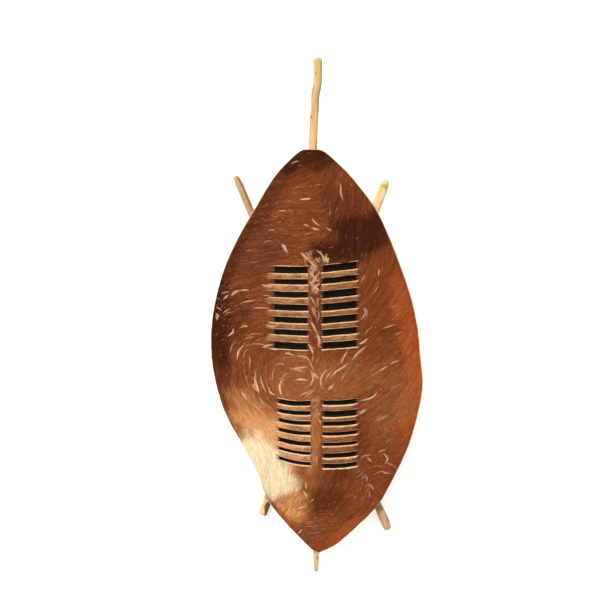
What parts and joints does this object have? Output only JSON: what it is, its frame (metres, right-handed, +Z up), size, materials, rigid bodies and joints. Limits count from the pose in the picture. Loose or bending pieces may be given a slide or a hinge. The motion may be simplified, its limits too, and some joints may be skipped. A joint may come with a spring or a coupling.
{
  "type": "hide shield",
  "caption": "Pointed-oval cowhide shield, hair side up, with windows of black lacing, a long centre stick and crossed sticks behind.",
  "frame": {"origin": "middle of the whole thing's footprint, in the floor plane that the four feet of the crossed sticks touch", "axes": "+Y towards the hide's upper tip and the long end of the centre stick, +Z up out of the hair side, X across the hide"},
  "size_m": [0.4252, 1.028, 0.0592],
  "materials": {
    "hide": "short glossy reddish-brown hair with a cream patch, on stiff dried hide",
    "black_hide": "short black hair with a pale cut edge",
    "peeled_wood": "peeled and knife-whittled, unvarnished",
    "rawhide": "dried raw hide, matt"
  },
  "bodies": {
    "root": {"hide_face": "hide", "lacing_upper_left": "black_hide", "lacing_upper_right": "black_hide", "lacing_lower_left": "black_hide", "lacing_lower_right": "black_hide", "centre_stick": "peeled_wood", "cross_stick_left": "peeled_wood", "cross_stick_right": "peeled_wood", "crossing_lash": "rawhide", "strap_upper": "rawhide", "strap_lower": "rawhide"}
  },
  "joints": []
}
